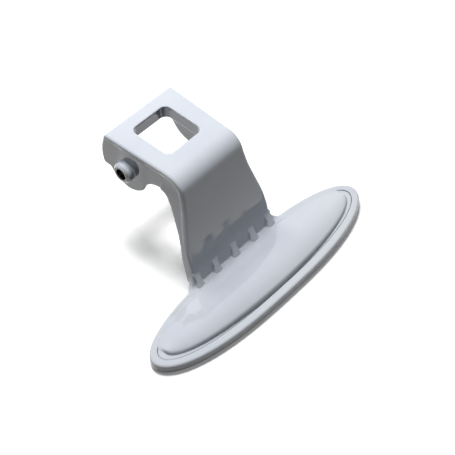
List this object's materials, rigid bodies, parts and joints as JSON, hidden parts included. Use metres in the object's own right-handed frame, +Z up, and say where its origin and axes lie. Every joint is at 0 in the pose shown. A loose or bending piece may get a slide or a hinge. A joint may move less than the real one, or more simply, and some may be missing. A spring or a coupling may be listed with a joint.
{
  "type": "washing machine door handle",
  "caption": "Leaf shaped grip with a leaning channel arm that bends into a windowed top plate with two pivot cheeks.",
  "frame": {"origin": "on the show face of the grip, under the middle of the line between the leaf's tips", "axes": "+X along the leaf and the pivot axis, +Y from the grip back to the pivot, +Z up from the show face"},
  "size_m": [0.11, 0.076, 0.0463],
  "materials": {
    "cover": "glossy cool light grey moulded plastic",
    "body": "glossy cool light grey moulded plastic"
  },
  "bodies": {
    "root": {"grip_cover": "cover", "handle_body": "body"}
  },
  "joints": []
}
